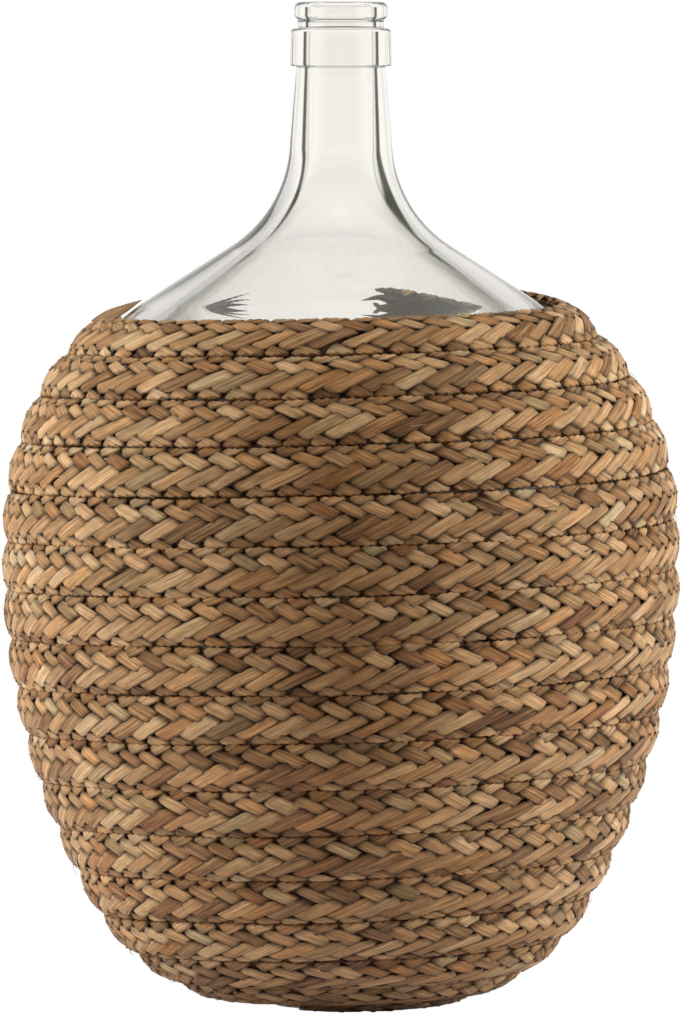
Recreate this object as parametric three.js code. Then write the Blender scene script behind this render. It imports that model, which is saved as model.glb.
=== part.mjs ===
// Covered bottle vase: a clear glass demijohn wrapped from heel to shoulder in one long flat seagrass plait.
// Millimetres, +Z up. The origin is the centre of the foot ring, on the surface that the vase stands on.

import * as THREE from "three";

// Glass body, outside
const BOTTLE_HEIGHT = 432.5;
const BELLY_RADIUS = 138.2;
const BELLY_HEIGHT = 192.5;
const BELLY_ARC_RADIUS = 298;
const HEEL_ARC_RADIUS = 78;
const SHOULDER_JOIN_HEIGHT = 215.5;
const SHOULDER_ARC_RADIUS = 115;
const SHOULDER_SLOPE = THREE.MathUtils.degToRad(32.6);

// Neck and mouth
const NECK_TOP_RADIUS = 19.1;
const NECK_TAPER = THREE.MathUtils.degToRad(4.8);
const NECK_ARC_RADIUS = 55;
const COLLAR_RADIUS = 21.9;
const COLLAR_HEIGHT = 16.2;
const COLLAR_DRAFT = 0.4;
const COLLAR_ROUNDING = 1.8;
const GROOVE_RADIUS = 18.6;
const GROOVE_HEIGHT = 3.6;
const LIP_RADIUS = 20;
const LIP_HEIGHT = 7.8;
const LIP_ROUNDING = 2.4;
const BORE_RADIUS = 13.5;
const BORE_TAPER = THREE.MathUtils.degToRad(1.2);
const BORE_ARC_RADIUS = 60;
const MOUTH_ROUNDING = 1.5;

// Wall and base. The wall thickens up the shoulder: inside, the shoulder starts lower by the drop.
const BODY_WALL = 4.5;
const INNER_SHOULDER_DROP = 9;
const FOOT_RADIUS = 29;
const FOOT_RING_WIDTH = 8;
const FOOT_ROUNDING = 1.2;
const PUSH_UP_HEIGHT = 3;
const INNER_FLOOR_RISE = 4;

// Cover: the plait and the bead of glue under it
const PLAIT_WIDTH = 19.9;
const PLAIT_THICKNESS = 6;
const PLAIT_EDGE_ROUNDING = 1.8;
const SEAM_GAP = 0.7;
const GLUE_WIDTH = 9;
const GLUE_THICKNESS = 0.9;
const GLUE_END_SETBACK_STEPS = 2;
const CLEARANCE = 0.3;
const FLOOR_GAP = 0.3;
const FOOT_TO_PLAIT = 2;
const COVER_SHORT_OF_CONE = 3.2;
const COVER_END_ANGLE = THREE.MathUtils.degToRad(90);

// Facets round the axis, the same for the glass and for each turn of the cover, and points along each curve
const STEPS_PER_TURN = 32;
const ARC_POINTS = 7;
const BELLY_POINTS = 10;
const ROUNDING_POINTS = 3;

const STEP_ANGLE = (2 * Math.PI) / STEPS_PER_TURN;
const QUARTER = Math.PI / 2;

// The stack of layers on the glass, measured along the glass's normal
const GLUE_INNER = CLEARANCE;
const GLUE_OUTER = GLUE_INNER + GLUE_THICKNESS;
const PLAIT_INNER = GLUE_OUTER + CLEARANCE;
const PLAIT_OUTER = PLAIT_INNER + PLAIT_THICKNESS;
const HEEL_LEVEL = PLAIT_OUTER + FLOOR_GAP;

// Curves of the upright section, where x is the radius and y the height

function arc(centre, radius, from, to) {
  return new THREE.EllipseCurve(centre.x, centre.y, radius, radius, from, to, to < from);
}

function polar(centre, radius, angle) {
  return new THREE.Vector2(centre.x + radius * Math.cos(angle), centre.y + radius * Math.sin(angle));
}

function direction(angle) {
  return polar(new THREE.Vector2(), 1, angle);
}

// Point where two lines meet, each given by a point and the angle of its direction
function meet(a, angleA, b, angleB) {
  const along = direction(angleA);
  const across = direction(angleB);
  const gap = b.clone().sub(a);
  const reach = gap.cross(across) / along.cross(across);
  return a.clone().addScaledVector(along, reach);
}

// Hollow curve that turns a rising line at one angle into a steeper one at a smaller angle
function hollowArc(corner, angleIn, angleOut, radius) {
  const tangent = radius * Math.tan((angleIn - angleOut) / 2);
  const start = corner.clone().addScaledVector(direction(angleIn), -tangent);
  const centre = polar(start, radius, angleIn - QUARTER);
  return arc(centre, radius, angleIn + QUARTER, angleOut + QUARTER);
}

// Body curves shared by both faces of the glass: a wall of 0 is the outside, BODY_WALL the inside. The belly runs
// up to the join, the shoulder from there to the start of a straight cone.
const bellyCentre = new THREE.Vector2(BELLY_RADIUS - BELLY_ARC_RADIUS, BELLY_HEIGHT);
const heelReach = BELLY_ARC_RADIUS - HEEL_ARC_RADIUS;
const heelDrop = BELLY_HEIGHT - HEEL_LEVEL - HEEL_ARC_RADIUS;
const heelAngle = -Math.asin(heelDrop / heelReach);
const heelCentre = polar(bellyCentre, heelReach, heelAngle);
const underHeelAngle = Math.asin(Math.max(0, (FOOT_RADIUS - heelCentre.x) / HEEL_ARC_RADIUS)) - QUARTER;
const coneAngle = Math.PI - SHOULDER_SLOPE;

function bodyCurves(wall, joinHeight) {
  const joinAngle = Math.asin((joinHeight - BELLY_HEIGHT) / BELLY_ARC_RADIUS);
  const shoulderCentre = polar(bellyCentre, BELLY_ARC_RADIUS - SHOULDER_ARC_RADIUS, joinAngle);
  const shoulderRadius = SHOULDER_ARC_RADIUS - wall;
  return {
    belly: arc(bellyCentre, BELLY_ARC_RADIUS - wall, heelAngle, joinAngle),
    shoulder: arc(shoulderCentre, shoulderRadius, joinAngle, coneAngle - QUARTER),
    coneStart: polar(shoulderCentre, shoulderRadius, coneAngle - QUARTER),
  };
}

const collarBottom = BOTTLE_HEIGHT - LIP_HEIGHT - GROOVE_HEIGHT - COLLAR_HEIGHT;
const collarTop = collarBottom + COLLAR_HEIGHT;
const lipBottom = collarTop + GROOVE_HEIGHT;
const neckTop = new THREE.Vector2(NECK_TOP_RADIUS, collarBottom);
const boreTop = new THREE.Vector2(BORE_RADIUS, BOTTLE_HEIGHT - MOUTH_ROUNDING);

const outside = bodyCurves(0, SHOULDER_JOIN_HEIGHT);
const inside = bodyCurves(BODY_WALL, SHOULDER_JOIN_HEIGHT - INNER_SHOULDER_DROP);
const outerHeel = arc(heelCentre, HEEL_ARC_RADIUS, underHeelAngle, heelAngle);
const innerHeel = arc(heelCentre, HEEL_ARC_RADIUS - BODY_WALL, -QUARTER, heelAngle);
const neckCorner = meet(outside.coneStart, coneAngle, neckTop, QUARTER + NECK_TAPER);
const neckArc = hollowArc(neckCorner, coneAngle, QUARTER + NECK_TAPER, NECK_ARC_RADIUS);
const boreCorner = meet(inside.coneStart, coneAngle, boreTop, QUARTER + BORE_TAPER);
const boreArc = hollowArc(boreCorner, coneAngle, QUARTER + BORE_TAPER, BORE_ARC_RADIUS);

// Glass bottle: one closed section turned about the axis

function reversed(points) {
  return points.slice().reverse();
}

// Dome that rises from a rim to a top on the axis, as points from the axis outwards
function dome(rim, top) {
  const rise = top - rim.y;
  const radius = (rim.x * rim.x + rise * rise) / (2 * rise);
  const centre = new THREE.Vector2(0, top - radius);
  const rimAngle = Math.atan2(rim.y - centre.y, rim.x);
  const points = arc(centre, radius, QUARTER, rimAngle).getPoints(ROUNDING_POINTS);
  points[0].x = 0;
  return points;
}

function rounding(x, y, radius, from, to) {
  return arc(new THREE.Vector2(x, y), radius, from, to).getPoints(ROUNDING_POINTS);
}

function footPoints() {
  const ringInner = new THREE.Vector2(FOOT_RADIUS - FOOT_RING_WIDTH, 0);
  const underHeel = new THREE.Vector2(FOOT_RADIUS, outerHeel.getPoint(0).y);
  const edge = rounding(FOOT_RADIUS - FOOT_ROUNDING, FOOT_ROUNDING, FOOT_ROUNDING, -QUARTER, 0);
  return [...dome(ringInner, PUSH_UP_HEIGHT), ...edge, underHeel];
}

function mouthPoints() {
  const collarTopRadius = COLLAR_RADIUS - COLLAR_DRAFT;
  const collarEdge = collarTopRadius - COLLAR_ROUNDING;
  const lipEdge = LIP_RADIUS - LIP_ROUNDING;
  const mouthEdge = BORE_RADIUS + MOUTH_ROUNDING;
  return [
    new THREE.Vector2(COLLAR_RADIUS, collarBottom),
    ...rounding(collarEdge, collarTop - COLLAR_ROUNDING, COLLAR_ROUNDING, 0, QUARTER),
    new THREE.Vector2(GROOVE_RADIUS, collarTop),
    new THREE.Vector2(GROOVE_RADIUS, lipBottom),
    ...rounding(lipEdge, lipBottom + LIP_ROUNDING, LIP_ROUNDING, -QUARTER, 0),
    ...rounding(lipEdge, BOTTLE_HEIGHT - LIP_ROUNDING, LIP_ROUNDING, 0, QUARTER),
    ...rounding(mouthEdge, BOTTLE_HEIGHT - MOUTH_ROUNDING, MOUTH_ROUNDING, QUARTER, Math.PI),
  ];
}

// Points that repeat the one before them are dropped, so that no facet has zero size
function distinct(points) {
  const least = 0.001;
  return points.filter((point, i) => i === 0 || point.distanceTo(points[i - 1]) > least);
}

function glassSection() {
  const innerRim = new THREE.Vector2(heelCentre.x, HEEL_LEVEL + BODY_WALL);
  const outer = [
    ...outerHeel.getPoints(ARC_POINTS),
    ...outside.belly.getPoints(BELLY_POINTS),
    ...outside.shoulder.getPoints(ARC_POINTS),
    ...neckArc.getPoints(ARC_POINTS),
    neckTop,
  ];
  const inner = [
    ...dome(innerRim, innerRim.y + INNER_FLOOR_RISE),
    ...innerHeel.getPoints(ARC_POINTS),
    ...inside.belly.getPoints(BELLY_POINTS),
    ...inside.shoulder.getPoints(ARC_POINTS),
    ...boreArc.getPoints(ARC_POINTS),
  ];
  return distinct([...footPoints(), ...outer, ...mouthPoints(), ...reversed(inner)]);
}

function glassGeometry() {
  const geometry = new THREE.LatheGeometry(glassSection(), STEPS_PER_TURN);
  return geometry.rotateX(QUARTER);
}

// Cover: a path up the glass from under the heel to the shoulder, wound round the axis as it rises

const coverPath = new THREE.CurvePath();
const coverStart = new THREE.Vector2(FOOT_RADIUS, outerHeel.getPoint(0).y);
if (coverStart.distanceTo(outerHeel.getPoint(0)) > CLEARANCE) {
  coverPath.add(new THREE.LineCurve(coverStart, outerHeel.getPoint(0)));
}
coverPath.add(outerHeel);
coverPath.add(outside.belly);
const coveredShoulder = outside.shoulder.clone();
coveredShoulder.aEndAngle -= COVER_SHORT_OF_CONE / SHOULDER_ARC_RADIUS;
coverPath.add(coveredShoulder);

const pathLength = coverPath.getLength();
const firstCentre = FOOT_TO_PLAIT + PLAIT_WIDTH / 2;
const lastCentre = pathLength - PLAIT_WIDTH / 2;
const rise = lastCentre - firstCentre;
const coverSteps = Math.floor((rise / (PLAIT_WIDTH + SEAM_GAP)) * STEPS_PER_TURN);

// Frame of the cover's centre line after a number of steps: a point on the glass, with its slope and its turn
function coverFrame(step) {
  const share = (firstCentre + (rise * step) / coverSteps) / pathLength;
  const point = coverPath.getPointAt(share);
  const up = coverPath.getTangentAt(share);
  return {
    point,
    up,
    out: new THREE.Vector2(up.y, -up.x),
    angle: COVER_END_ANGLE - (coverSteps - step) * STEP_ANGLE,
  };
}

// Section point at a distance up the glass and off the glass, as radius and height
function sectionPoint(frame, [across, off]) {
  return frame.point.clone().addScaledVector(frame.up, across).addScaledVector(frame.out, off);
}

function turned(flat, angle) {
  return [flat.x * Math.cos(angle), flat.x * Math.sin(angle), flat.y];
}

// One unbroken tube of a flat section, from one step to another, with both ends closed
function windingGeometry(section, firstStep, lastStep) {
  const sides = section.length;
  const positions = [];
  const triangles = [];
  for (let step = firstStep; step <= lastStep; step += 1) {
    const frame = coverFrame(step);
    for (const corner of section) {
      positions.push(...turned(sectionPoint(frame, corner), frame.angle));
    }
  }
  const rings = lastStep - firstStep + 1;
  for (let ring = 0; ring < rings - 1; ring += 1) {
    for (let side = 0; side < sides; side += 1) {
      const a = ring * sides + side;
      const b = ring * sides + ((side + 1) % sides);
      triangles.push(a, b + sides, b, a, a + sides, b + sides);
    }
  }
  const lastRing = (rings - 1) * sides;
  for (let side = 1; side < sides - 1; side += 1) {
    triangles.push(0, side, side + 1);
    triangles.push(lastRing, lastRing + side + 1, lastRing + side);
  }
  const geometry = new THREE.BufferGeometry();
  geometry.setAttribute("position", new THREE.Float32BufferAttribute(positions, 3));
  geometry.setIndex(triangles);
  return geometry;
}

const plaitHalf = PLAIT_WIDTH / 2;
const plaitFlat = plaitHalf - PLAIT_EDGE_ROUNDING;
const plaitMiddle = (PLAIT_INNER + PLAIT_OUTER) / 2;
const plaitSection = [
  [-plaitFlat, PLAIT_INNER],
  [-plaitHalf, plaitMiddle],
  [-plaitFlat, PLAIT_OUTER],
  [plaitFlat, PLAIT_OUTER],
  [plaitHalf, plaitMiddle],
  [plaitFlat, PLAIT_INNER],
];

const glueHalf = GLUE_WIDTH / 2;
const glueSection = [
  [-glueHalf, GLUE_INNER],
  [-glueHalf, GLUE_OUTER],
  [glueHalf, GLUE_OUTER],
  [glueHalf, GLUE_INNER],
];

// Least distance from one turn of the plait to the next, over the corners of every section
function leastGap() {
  let least = Infinity;
  for (let step = 0; step + STEPS_PER_TURN <= coverSteps; step += 1) {
    const below = coverFrame(step);
    const above = coverFrame(step + STEPS_PER_TURN);
    for (const low of plaitSection) {
      for (const high of plaitSection) {
        least = Math.min(least, sectionPoint(below, low).distanceTo(sectionPoint(above, high)));
      }
    }
  }
  return least;
}

console.log(`plait: ${(coverSteps / STEPS_PER_TURN).toFixed(2)} turns`);
console.log(`least gap of the plait to itself: ${leastGap().toFixed(2)} mm`);

const clearGlass = new THREE.MeshStandardMaterial({
  color: 0xe8ebe6,
  roughness: 0.05,
  metalness: 0,
  transparent: true,
  opacity: 0.35,
});
const driedSeagrass = new THREE.MeshStandardMaterial({ color: 0xa98a5f, roughness: 0.75, metalness: 0 });
const hotGlue = new THREE.MeshStandardMaterial({ color: 0xe9e4d4, roughness: 0.35, metalness: 0 });

const lastGlueStep = coverSteps - GLUE_END_SETBACK_STEPS;
const pieces = [
  ["glass_bottle", glassGeometry(), clearGlass],
  ["seagrass_plait", windingGeometry(plaitSection, 0, coverSteps), driedSeagrass],
  ["glue_bead", windingGeometry(glueSection, GLUE_END_SETBACK_STEPS, lastGlueStep), hotGlue],
];

const vase = new THREE.Group();
for (const [name, geometry, material] of pieces) {
  const mesh = new THREE.Mesh(geometry, material);
  mesh.name = name;
  vase.add(mesh);
}

export default vase;
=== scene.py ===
# %% [markdown]
# # Covered bottle vase
#
# The object is a clear glass demijohn. One long flat plait of eight dried seagrass strands is wound round
# it from the heel to the shoulder and held with hot glue. The mouth is open, and nothing on the vase
# moves.
#
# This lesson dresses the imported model: it makes the glass smooth, braids the plait strand by strand, lays
# the glue, and lights the vase as in a plain studio. Every size is in metres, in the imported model's own
# frame.

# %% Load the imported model
import math

import bpy
import numpy as np
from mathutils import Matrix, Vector


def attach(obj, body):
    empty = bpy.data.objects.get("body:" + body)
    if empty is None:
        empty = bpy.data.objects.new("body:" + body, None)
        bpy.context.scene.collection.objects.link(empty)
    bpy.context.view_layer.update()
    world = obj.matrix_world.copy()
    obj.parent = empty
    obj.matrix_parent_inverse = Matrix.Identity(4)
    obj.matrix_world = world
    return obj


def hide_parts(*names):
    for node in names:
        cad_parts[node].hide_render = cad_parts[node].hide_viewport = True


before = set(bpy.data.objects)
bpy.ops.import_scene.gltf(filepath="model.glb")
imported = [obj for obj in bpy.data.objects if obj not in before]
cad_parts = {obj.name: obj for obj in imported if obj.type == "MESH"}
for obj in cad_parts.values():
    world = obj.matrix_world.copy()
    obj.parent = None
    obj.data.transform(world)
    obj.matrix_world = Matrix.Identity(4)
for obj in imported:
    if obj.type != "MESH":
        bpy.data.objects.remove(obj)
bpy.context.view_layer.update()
MM = 0.001
print("nodes:", sorted(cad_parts))

# %% [markdown]
# ## Camera
#
# The photograph was taken from a few metres away with a long lens, so that the vase hardly tapers. The
# turns of the plait sag a little towards the viewer at the foot and run level at the mouth, which puts
# the lens just above the mouth. A camera can be aimed by hand, but working it out from those readings
# keeps it repeatable. The distance sets the perspective, and the focal length follows from how much of
# the scene fills the frame.

# %% Camera
CAMERA_DISTANCE = 5.5
CAMERA_HEIGHT = 500 * MM
AIM_HEIGHT = 214.9 * MM
AIM_SIDE = -0.4 * MM
FRAME_HEIGHT = 437 * MM
SENSOR = 36

scene = bpy.context.scene
lens_data = bpy.data.cameras.new("studio_camera")
lens_data.sensor_width = SENSOR
lens_data.lens = SENSOR * math.hypot(CAMERA_DISTANCE, CAMERA_HEIGHT - AIM_HEIGHT) / FRAME_HEIGHT
lens_data.clip_end = 100
camera = bpy.data.objects.new("studio_camera", lens_data)
scene.collection.objects.link(camera)
camera.location = (AIM_SIDE, -CAMERA_DISTANCE, CAMERA_HEIGHT)
sight = Vector((AIM_SIDE, 0, AIM_HEIGHT)) - camera.location
camera.rotation_euler = sight.to_track_quat("-Z", "Y").to_euler()
scene.camera = camera
print(f"camera: {lens_data.lens:.0f} mm lens, {CAMERA_DISTANCE} m away")

# %% [markdown]
# ## Upright section of the glass
#
# A blown bottle is a surface of revolution, so one section says everything about it. The section is drawn
# as arcs that run smoothly into each other: heel, belly, shoulder, a straight cone, a hollow curve and
# the neck. Points traced by hand would show as dents in the reflections, while arcs give an even
# curvature.

# %% Helpers for arcs in the upright section
QUARTER = math.pi / 2


def polar(centre, radius, angle):
    """Point at an angle on a circle, as radius from the axis and height."""
    return np.array((centre[0] + radius * math.cos(angle), centre[1] + radius * math.sin(angle)))


def arc(centre, radius, start, end, count):
    """Points along an arc, both ends included."""
    return [polar(centre, radius, angle) for angle in np.linspace(start, end, count)]


def meet(a, angle_a, b, angle_b):
    """Point where two lines cross, each given by a point and the angle of its direction."""
    along = polar((0, 0), 1, angle_a)
    across = polar((0, 0), 1, angle_b)
    gap = b - a
    reach = (gap[0] * across[1] - gap[1] * across[0]) / (along[0] * across[1] - along[1] * across[0])
    return a + along * reach


def hollow_arc(corner, angle_in, angle_out, radius, count):
    """Arc that turns a rising line at one angle into a steeper one."""
    tangent = radius * math.tan((angle_in - angle_out) / 2)
    start = corner - tangent * polar((0, 0), 1, angle_in)
    centre = polar(start, radius, angle_in - QUARTER)
    return arc(centre, radius, angle_in + QUARTER, angle_out + QUARTER, count)


# %% Body of the bottle
BELLY_RADIUS = 138.2 * MM
BELLY_HEIGHT = 192.5 * MM
BELLY_ARC = 298 * MM
HEEL_ARC = 78 * MM
HEEL_LEVEL = 7.8 * MM
SHOULDER_ARC = 115 * MM
SHOULDER_JOIN = 215.5 * MM
CONE_ANGLE = math.radians(180 - 32.6)
FOOT_RADIUS = 29 * MM
HEEL_POINTS = 24
BELLY_POINTS = 48
SHOULDER_POINTS = 32

belly_centre = np.array((BELLY_RADIUS - BELLY_ARC, BELLY_HEIGHT))
heel_angle = -math.asin((BELLY_HEIGHT - HEEL_LEVEL - HEEL_ARC) / (BELLY_ARC - HEEL_ARC))
heel_centre = polar(belly_centre, BELLY_ARC - HEEL_ARC, heel_angle)


def shoulder_at(height):
    """Angle at which the belly passes into the shoulder at a height, and the shoulder arc's centre."""
    angle = math.asin((height - BELLY_HEIGHT) / BELLY_ARC)
    return angle, polar(belly_centre, BELLY_ARC - SHOULDER_ARC, angle)


def body_side(wall, join_height):
    """Points of one face of the body from under the heel to the cone, set in by a wall's thickness."""
    join, centre = shoulder_at(join_height)
    heel = arc(heel_centre, HEEL_ARC - wall, -QUARTER, heel_angle, HEEL_POINTS)
    belly = arc(belly_centre, BELLY_ARC - wall, heel_angle, join, BELLY_POINTS)
    shoulder = arc(centre, SHOULDER_ARC - wall, join, CONE_ANGLE - QUARTER, SHOULDER_POINTS)
    return heel + belly[1:] + shoulder[1:]


outer_body = body_side(0, SHOULDER_JOIN)
print(f"belly {2 * BELLY_RADIUS / MM:.0f} mm across, heel turns at {math.degrees(heel_angle):.1f} degrees")

# %% [markdown]
# The neck ends in a flat collar, a groove and a rounded lip, the usual mouth of a demijohn that took a
# cork and a tied cap. Moulded glass has no sharp edge anywhere, so every corner gets a small fillet. That
# matters more in glass than in other materials: each fillet bends the light and shows as a thin bright or
# dark line.

# %% Neck, collar, lip and bore
BOTTLE_HEIGHT = 432.5 * MM
NECK_TOP_RADIUS = 19.1 * MM
NECK_TAPER = math.radians(4.8)
NECK_ARC = 55 * MM
COLLAR_RADIUS = 21.9 * MM
COLLAR_TOP_RADIUS = 21.5 * MM
COLLAR_BOTTOM = 404.9 * MM
COLLAR_TOP = 421.1 * MM
GROOVE_RADIUS = 18.6 * MM
LIP_BOTTOM = 424.7 * MM
LIP_RADIUS = 20 * MM
BORE_RADIUS = 13.5 * MM
BORE_TAPER = math.radians(1.2)
BORE_ARC = 60 * MM
FILLET_POINTS = 7


def rounded(corner, before, after, radius):
    """Fillet points that replace a corner between two straight runs."""
    corner = np.array(corner)
    into = np.array(before) - corner
    out = np.array(after) - corner
    into = into / np.linalg.norm(into)
    out = out / np.linalg.norm(out)
    half = math.acos(float(np.dot(into, out))) / 2
    bisector = (into + out) / np.linalg.norm(into + out)
    centre = corner + bisector * radius / math.sin(half)
    start = corner + into * radius / math.tan(half) - centre
    end = corner + out * radius / math.tan(half) - centre
    turn = math.atan2(start[0] * end[1] - start[1] * end[0], float(np.dot(start, end)))
    first = math.atan2(start[1], start[0])
    return arc(centre, radius, first, first + turn, FILLET_POINTS)


def filleted(corners):
    """Run of points through corners given as (radius, height, fillet), both ends kept as they are."""
    points = [np.array(corners[0][:2])]
    for before, corner, after in zip(corners, corners[1:], corners[2:]):
        points += rounded(corner[:2], before[:2], after[:2], corner[2])
    return points + [np.array(corners[-1][:2])]


# Corners of the mouth, from the neck over the lip into the bore: radius, height and fillet
mouth_corners = [
    (NECK_TOP_RADIUS + 0.9 * MM, COLLAR_BOTTOM - 10 * MM, 0),
    (NECK_TOP_RADIUS, COLLAR_BOTTOM, 0.7 * MM),
    (COLLAR_RADIUS, COLLAR_BOTTOM, 0.9 * MM),
    (COLLAR_TOP_RADIUS, COLLAR_TOP, 1.7 * MM),
    (GROOVE_RADIUS, COLLAR_TOP, 0.5 * MM),
    (GROOVE_RADIUS, LIP_BOTTOM, 0.6 * MM),
    (LIP_RADIUS, LIP_BOTTOM, 2.4 * MM),
    (LIP_RADIUS, BOTTLE_HEIGHT, 2.6 * MM),
    (BORE_RADIUS, BOTTLE_HEIGHT, 1.6 * MM),
    (BORE_RADIUS + 0.4 * MM, BOTTLE_HEIGHT - 12 * MM, 0),
]
mouth_side = filleted(mouth_corners)
print("mouth points:", len(mouth_side))

# %% [markdown]
# The wall is thin on the body and thick from the shoulder up, as blown glass is: inside, the shoulder
# starts lower. Light that enters the thick wall near the outline can't get out inside, and that is the
# pale band with dark streaks along both edges of the shoulder. The base is pushed up, so that the bottle
# stands on a ring. The plait hides the ring.

# %% Whole section of the bottle
WALL = 4.5 * MM
INNER_SHOULDER_DROP = 9 * MM
FOOT_RING = 8 * MM
PUSH_UP = 3 * MM
INNER_FLOOR_RISE = 4 * MM
NECK_POINTS = 28
BASE_POINTS = 14
FLOOR_POINTS = 12


def dome(rim_radius, rim_height, top, count):
    """Points of a shallow dome from the axis out to its rim."""
    rise = top - rim_height
    radius = (rim_radius**2 + rise**2) / (2 * rise)
    rim_angle = math.atan2(rim_height - top + radius, rim_radius)
    points = arc((0, top - radius), radius, QUARTER, rim_angle, count)
    points[0][0] = 0
    return points


neck_point = np.array((NECK_TOP_RADIUS, COLLAR_BOTTOM))
bore_point = np.array((BORE_RADIUS, BOTTLE_HEIGHT))
inner_body = body_side(WALL, SHOULDER_JOIN - INNER_SHOULDER_DROP)
neck_corner = meet(outer_body[-1], CONE_ANGLE, neck_point, QUARTER + NECK_TAPER)
bore_corner = meet(inner_body[-1], CONE_ANGLE, bore_point, QUARTER + BORE_TAPER)
# Corners of the foot ring, from inside to the heel: radius, height and fillet
foot_corners = [
    (FOOT_RADIUS - FOOT_RING - 3 * MM, 0.8 * MM, 0),
    (FOOT_RADIUS - FOOT_RING, 0, 1.5 * MM),
    (FOOT_RADIUS, 0, 1.2 * MM),
    (FOOT_RADIUS, HEEL_LEVEL, 0),
]
under_base = dome(FOOT_RADIUS - FOOT_RING, 0, PUSH_UP, BASE_POINTS)[:-2]
outer_face = outer_body + hollow_arc(neck_corner, CONE_ANGLE, QUARTER + NECK_TAPER, NECK_ARC, NECK_POINTS)
floor_level = HEEL_LEVEL + WALL
inner_floor = dome(heel_centre[0], floor_level, floor_level + INNER_FLOOR_RISE, FLOOR_POINTS)
inner_neck = hollow_arc(bore_corner, CONE_ANGLE, QUARTER + BORE_TAPER, BORE_ARC, NECK_POINTS)
inner_face = inner_floor + inner_body[1:] + inner_neck
outside = under_base + filleted(foot_corners)[1:] + outer_face + mouth_side
section = outside + inner_face[::-1]
print("points in the section:", len(section))

# %% [markdown]
# The section is turned once round the axis. A blown bottle's inner face is never quite round, because
# only its outside touched the mould. So the inner points stray in and out in two soft waves, from the
# shoulder to the neck, and that breaks up the streaks in the glass. A Screw modifier would turn the
# section too, but without the ripples.

# %% Bottle
RIPPLE = 0.35 * MM
# Each wave: ripples round the bottle, radians per metre up it, start, and share
RIPPLE_WAVES = ((2, 34, 0.6, 1.0), (-5, 55, 2.1, 0.6))
RIPPLE_START = (240 * MM, 300 * MM)
RIPPLE_END = (370 * MM, 400 * MM)
TURNS_OF_FACES = 192


def ripples(angles, heights):
    """How far the inner face strays in and out round the shoulder and the neck."""
    waves = 0
    for round_bottle, up_bottle, start, share in RIPPLE_WAVES:
        waves = waves + share * np.sin(np.add.outer(round_bottle * angles, up_bottle * heights) + start)
    fade = np.interp(heights, RIPPLE_START, (0, 1)) * np.interp(heights, RIPPLE_END, (1, 0))
    return RIPPLE * fade * waves


def turned_mesh(name, points, inside_from, count):
    """Closed mesh of a section that starts and ends on the axis, turned once round it."""
    radius = np.array([p[0] for p in points[1:-1]])
    height = np.array([p[1] for p in points[1:-1]])
    angles = np.arange(count) * 2 * math.pi / count
    inside = np.arange(1, len(points) - 1) >= inside_from
    far = radius + ripples(angles, height) * inside
    across = np.cos(angles)[:, None] * far
    deep = np.sin(angles)[:, None] * far
    rings = np.stack((across, deep, np.tile(height, (count, 1))), axis=-1)
    inner = len(radius)
    poles = [(0, 0, points[0][1]), (0, 0, points[-1][1])]
    first_pole = count * inner
    faces = []
    for a in range(count):
        b = (a + 1) % count
        for i in range(inner - 1):
            faces.append((a * inner + i, b * inner + i, b * inner + i + 1, a * inner + i + 1))
        faces.append((first_pole, b * inner, a * inner))
        faces.append((first_pole + 1, a * inner + inner - 1, b * inner + inner - 1))
    mesh = bpy.data.meshes.new(name)
    mesh.from_pydata([*rings.reshape(-1, 3).tolist(), *poles], [], faces)
    mesh.shade_smooth()
    return mesh


bottle_mesh = turned_mesh("bottle_glass", section, len(outside), TURNS_OF_FACES)
bottle = bpy.data.objects.new("bottle_glass", bottle_mesh)
scene.collection.objects.link(bottle)
print("bottle faces:", len(bottle_mesh.polygons))

# %% [markdown]
# ## Winding guide
#
# The plait climbs the bottle as one right-handed helix. Its guide is a chain of points in the middle of
# the plait's thickness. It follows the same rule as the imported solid: a steady climb along the heel,
# belly and shoulder, and a fixed number of turns. First comes a function that walks up the glass by
# distance.

# %% Way up the glass
shoulder_angle, shoulder_centre = shoulder_at(SHOULDER_JOIN)
under_run = heel_centre[0] - FOOT_RADIUS
cover_runs = [
    (HEEL_ARC, heel_centre, -QUARTER, heel_angle),
    (BELLY_ARC, belly_centre, heel_angle, shoulder_angle),
    (SHOULDER_ARC, shoulder_centre, shoulder_angle, CONE_ANGLE - QUARTER),
]
arc_length = sum(radius * (end - start) for radius, centre, start, end in cover_runs)


def on_glass(distance):
    """Point on the glass and the direction out of it, at a distance up the cover from the foot."""
    if distance < under_run:
        return np.array((FOOT_RADIUS + distance, HEEL_LEVEL)), np.array((0, -1.0))
    distance -= under_run
    for radius, centre, start, end in cover_runs:
        length = radius * (end - start)
        if distance <= length:
            angle = start + distance / radius
            return polar(centre, radius, angle), polar((0, 0), 1, angle)
        distance -= length
    point = outer_body[-1] + distance * polar((0, 0), 1, CONE_ANGLE)
    return point, polar((0, 0), 1, CONE_ANGLE - QUARTER)


def round_axis(flat, turn):
    """A radius and height, turned to an angle about the vase's axis."""
    return flat[0] * math.cos(turn), flat[0] * math.sin(turn), flat[1]


print(f"way up the glass to the cone: {(under_run + arc_length) / MM:.0f} mm")

# %% [markdown]
# Each point of the guide also stores the direction out of the glass, because a curve alone can't tell the
# plait's face from its edge. The plait ends at the back of the vase, behind the neck.

# %% Winding guide
PLAIT_WIDTH = 19.9 * MM
PLAIT_MIDDLE = 4.9 * MM
COVER_START = 2 * MM
COVER_SHORT_OF_CONE = 3.2 * MM
COVER_END_ANGLE = math.radians(90)
COVER_TURNS = 16.5625
GUIDE_POINTS_PER_TURN = 96

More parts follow.
